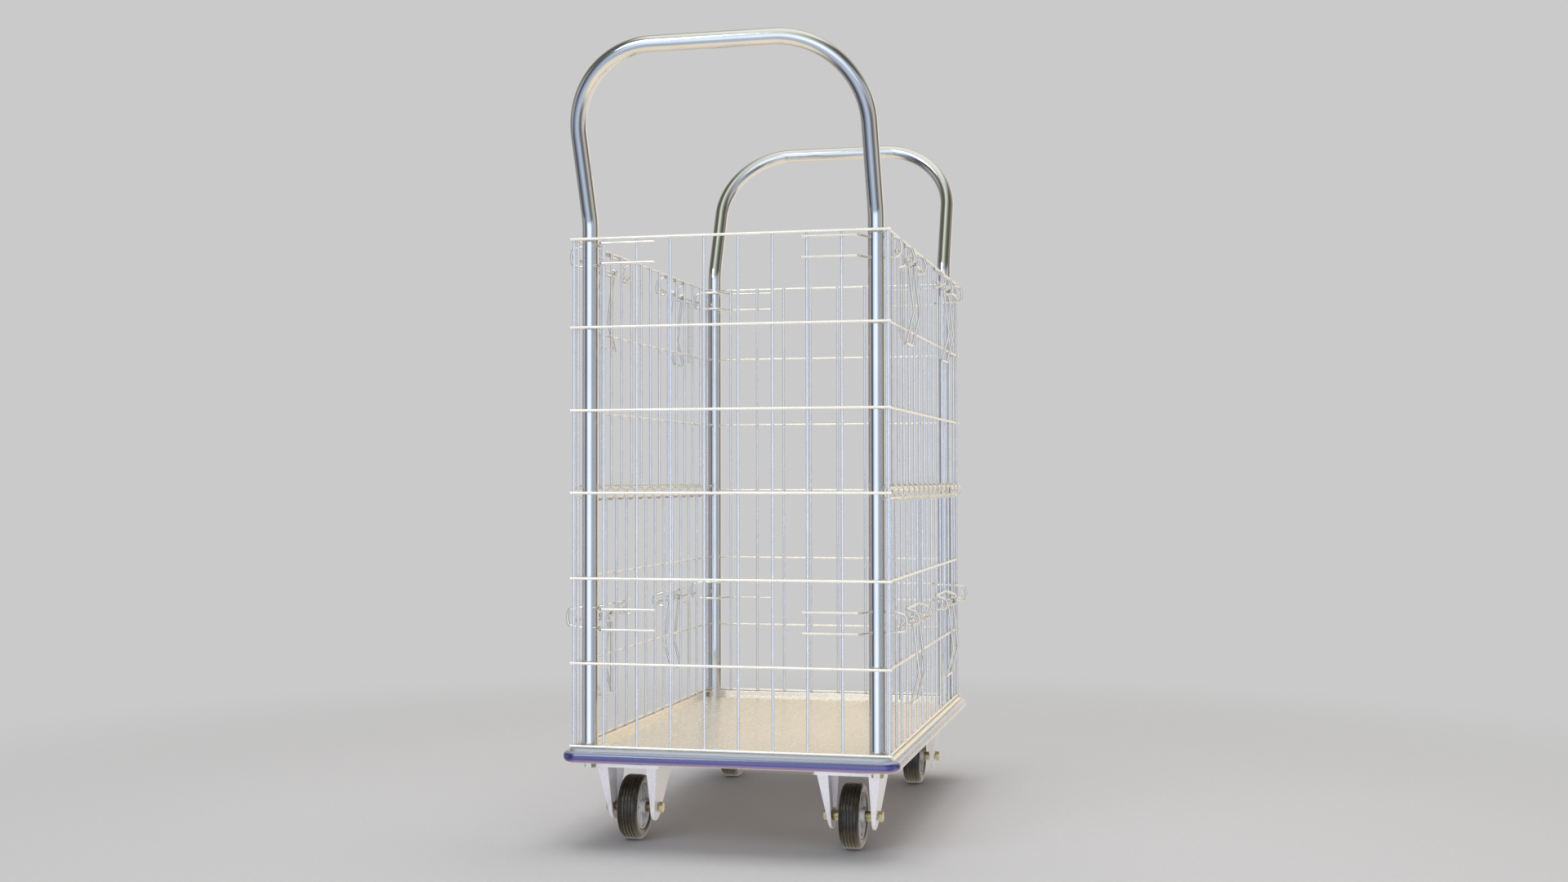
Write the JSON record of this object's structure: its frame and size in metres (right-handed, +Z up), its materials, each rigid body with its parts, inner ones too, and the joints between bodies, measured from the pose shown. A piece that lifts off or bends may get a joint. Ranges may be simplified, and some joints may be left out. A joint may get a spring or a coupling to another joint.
{
  "type": "roll cage container",
  "caption": "Mesh-sided platform trolley: steel deck on fixed and swivel castors, tube handles, wire end panels and folding wire sides held by slide bolts.",
  "frame": {"origin": "on the floor, below the centre of the trolley", "axes": "+Z up; +X across the trolley, towards its right-hand folding side seen from the end with the fixed castors; +Y along it, towards the end with the swivel castors"},
  "size_m": [0.5188, 0.9182, 1.1741],
  "materials": {
    "deck_steel": "satin",
    "channel_steel": "satin",
    "bumper": "gloss",
    "handle_chrome": "polished",
    "mesh_wire": "bright zinc",
    "latch_wire": "bright zinc",
    "coil_wire": "bright zinc",
    "castor_steel": "zinc plated",
    "yellow_zinc": "yellow zinc",
    "plug_steel": "plain",
    "ball_steel": "polished",
    "tyre": "satin",
    "hub": "matte"
  },
  "bodies": {
    "trolley": {"deck_tray": "deck_steel", "under_channels": "channel_steel", "bumper_strip": "bumper", "handle_near": "handle_chrome", "handle_far": "handle_chrome", "handle_plugs": "plug_steel", "handle_bolts": "yellow_zinc", "end_panel_near": "mesh_wire", "end_panel_far": "mesh_wire", "keepers_near": "latch_wire", "keepers_far": "latch_wire", "fork_near_left": "castor_steel", "fork_near_right": "castor_steel", "axles_near": "yellow_zinc", "swivel_plates": "castor_steel", "swivel_pins": "yellow_zinc", "swivel_balls": "ball_steel", "castor_bolts": "yellow_zinc"},
    "side_lower_left": {"side_lower_left": "mesh_wire", "hinge_coil_left": "coil_wire", "guides_lower_left": "latch_wire"},
    "side_upper_left": {"side_upper_left": "mesh_wire", "guides_upper_left": "latch_wire"},
    "bolt_lower_left_near": {"bolt_lower_left_near": "latch_wire"},
    "lever_lower_left_near": {"lever_lower_left_near": "latch_wire"},
    "bolt_lower_left_far": {"bolt_lower_left_far": "latch_wire"},
    "lever_lower_left_far": {"lever_lower_left_far": "latch_wire"},
    "bolt_upper_left_near": {"bolt_upper_left_near": "latch_wire"},
    "lever_upper_left_near": {"lever_upper_left_near": "latch_wire"},
    "bolt_upper_left_far": {"bolt_upper_left_far": "latch_wire"},
    "lever_upper_left_far": {"lever_upper_left_far": "latch_wire"},
    "side_lower_right": {"side_lower_right": "mesh_wire", "hinge_coil_right": "coil_wire", "guides_lower_right": "latch_wire"},
    "side_upper_right": {"side_upper_right": "mesh_wire", "guides_upper_right": "latch_wire"},
    "bolt_lower_right_near": {"bolt_lower_right_near": "latch_wire"},
    "lever_lower_right_near": {"lever_lower_right_near": "latch_wire"},
    "bolt_lower_right_far": {"bolt_lower_right_far": "latch_wire"},
    "lever_lower_right_far": {"lever_lower_right_far": "latch_wire"},
    "bolt_upper_right_near": {"bolt_upper_right_near": "latch_wire"},
    "lever_upper_right_near": {"lever_upper_right_near": "latch_wire"},
    "bolt_upper_right_far": {"bolt_upper_right_far": "latch_wire"},
    "lever_upper_right_far": {"lever_upper_right_far": "latch_wire"},
    "swivel_left": {"fork_far_left": "castor_steel", "axle_far_left": "yellow_zinc"},
    "wheel_far_left": {"tyre_far_left": "tyre", "hub_far_left": "hub"},
    "wheel_near_left": {"tyre_near_left": "tyre", "hub_near_left": "hub"},
    "swivel_right": {"fork_far_right": "castor_steel", "axle_far_right": "yellow_zinc"},
    "wheel_far_right": {"tyre_far_right": "tyre", "hub_far_right": "hub"},
    "wheel_near_right": {"tyre_near_right": "tyre", "hub_near_right": "hub"}
  },
  "joints": [
    {"name": "side_tilt_left", "type": "hinge", "parent": "trolley", "child": "side_lower_left", "pos_m": [-0.236, 0, 0.1496], "axis": [0, -1, 0], "range_deg": [0, 50]},
    {"name": "side_fold_left", "type": "hinge", "parent": "side_lower_left", "child": "side_upper_left", "pos_m": [-0.236, 0, 0.522], "axis": [0, -1, 0], "range_deg": [0, 145]},
    {"name": "bolt_slide_lower_left_near", "type": "slide", "parent": "side_lower_left", "child": "bolt_lower_left_near", "axis": [0, -1, 0], "range_m": [0, 0.045]},
    {"name": "lever_swing_lower_left_near", "type": "hinge", "parent": "bolt_lower_left_near", "child": "lever_lower_left_near", "pos_m": [-0.248, 0, 0.331], "axis": [0, 1, 0], "range_deg": [0, 80]},
    {"name": "bolt_slide_lower_left_far", "type": "slide", "parent": "side_lower_left", "child": "bolt_lower_left_far", "axis": [0, 1, 0], "range_m": [0, 0.045]},
    {"name": "lever_swing_lower_left_far", "type": "hinge", "parent": "bolt_lower_left_far", "child": "lever_lower_left_far", "pos_m": [-0.248, 0, 0.331], "axis": [0, 1, 0], "range_deg": [0, 80]},
    {"name": "bolt_slide_upper_left_near", "type": "slide", "parent": "side_upper_left", "child": "bolt_upper_left_near", "axis": [0, -1, 0], "range_m": [0, 0.045]},
    {"name": "lever_swing_upper_left_near", "type": "hinge", "parent": "bolt_upper_left_near", "child": "lever_upper_left_near", "pos_m": [-0.2422, 0, 0.871], "axis": [0, 1, 0], "range_deg": [0, 120]},
    {"name": "bolt_slide_upper_left_far", "type": "slide", "parent": "side_upper_left", "child": "bolt_upper_left_far", "axis": [0, 1, 0], "range_m": [0, 0.045]},
    {"name": "lever_swing_upper_left_far", "type": "hinge", "parent": "bolt_upper_left_far", "child": "lever_upper_left_far", "pos_m": [-0.2422, 0, 0.871], "axis": [0, 1, 0], "range_deg": [0, 120]},
    {"name": "side_tilt_right", "type": "hinge", "parent": "trolley", "child": "side_lower_right", "pos_m": [0.236, 0, 0.1496], "axis": [0, 1, 0], "range_deg": [0, 50]},
    {"name": "side_fold_right", "type": "hinge", "parent": "side_lower_right", "child": "side_upper_right", "pos_m": [0.236, 0, 0.522], "axis": [0, 1, 0], "range_deg": [0, 145]},
    {"name": "bolt_slide_lower_right_near", "type": "slide", "parent": "side_lower_right", "child": "bolt_lower_right_near", "axis": [0, -1, 0], "range_m": [0, 0.045]},
    {"name": "lever_swing_lower_right_near", "type": "hinge", "parent": "bolt_lower_right_near", "child": "lever_lower_right_near", "pos_m": [0.248, 0, 0.331], "axis": [0, -1, 0], "range_deg": [0, 80]},
    {"name": "bolt_slide_lower_right_far", "type": "slide", "parent": "side_lower_right", "child": "bolt_lower_right_far", "axis": [0, 1, 0], "range_m": [0, 0.045]},
    {"name": "lever_swing_lower_right_far", "type": "hinge", "parent": "bolt_lower_right_far", "child": "lever_lower_right_far", "pos_m": [0.248, 0, 0.331], "axis": [0, -1, 0], "range_deg": [0, 80]},
    {"name": "bolt_slide_upper_right_near", "type": "slide", "parent": "side_upper_right", "child": "bolt_upper_right_near", "axis": [0, -1, 0], "range_m": [0, 0.045]},
    {"name": "lever_swing_upper_right_near", "type": "hinge", "parent": "bolt_upper_right_near", "child": "lever_upper_right_near", "pos_m": [0.2422, 0, 0.871], "axis": [0, -1, 0], "range_deg": [0, 120]},
    {"name": "bolt_slide_upper_right_far", "type": "slide", "parent": "side_upper_right", "child": "bolt_upper_right_far", "axis": [0, 1, 0], "range_m": [0, 0.045]},
    {"name": "lever_swing_upper_right_far", "type": "hinge", "parent": "bolt_upper_right_far", "child": "lever_upper_right_far", "pos_m": [0.2422, 0, 0.871], "axis": [0, -1, 0], "range_deg": [0, 120]},
    {"name": "castor_swivel_left", "type": "hinge", "parent": "trolley", "child": "swivel_left", "pos_m": [-0.168, 0.262, 0.108], "axis": [0, 0, 1], "continuous": true},
    {"name": "wheel_spin_far_left", "type": "hinge", "parent": "swivel_left", "child": "wheel_far_left", "pos_m": [-0.168, 0.297, 0.048], "axis": [1, 0, 0], "continuous": true},
    {"name": "wheel_spin_near_left", "type": "hinge", "parent": "trolley", "child": "wheel_near_left", "pos_m": [-0.168, -0.28, 0.048], "axis": [1, 0, 0], "continuous": true},
    {"name": "castor_swivel_right", "type": "hinge", "parent": "trolley", "child": "swivel_right", "pos_m": [0.168, 0.262, 0.108], "axis": [0, 0, 1], "continuous": true},
    {"name": "wheel_spin_far_right", "type": "hinge", "parent": "swivel_right", "child": "wheel_far_right", "pos_m": [0.168, 0.297, 0.048], "axis": [1, 0, 0], "continuous": true},
    {"name": "wheel_spin_near_right", "type": "hinge", "parent": "trolley", "child": "wheel_near_right", "pos_m": [0.168, -0.28, 0.048], "axis": [1, 0, 0], "continuous": true}
  ]
}
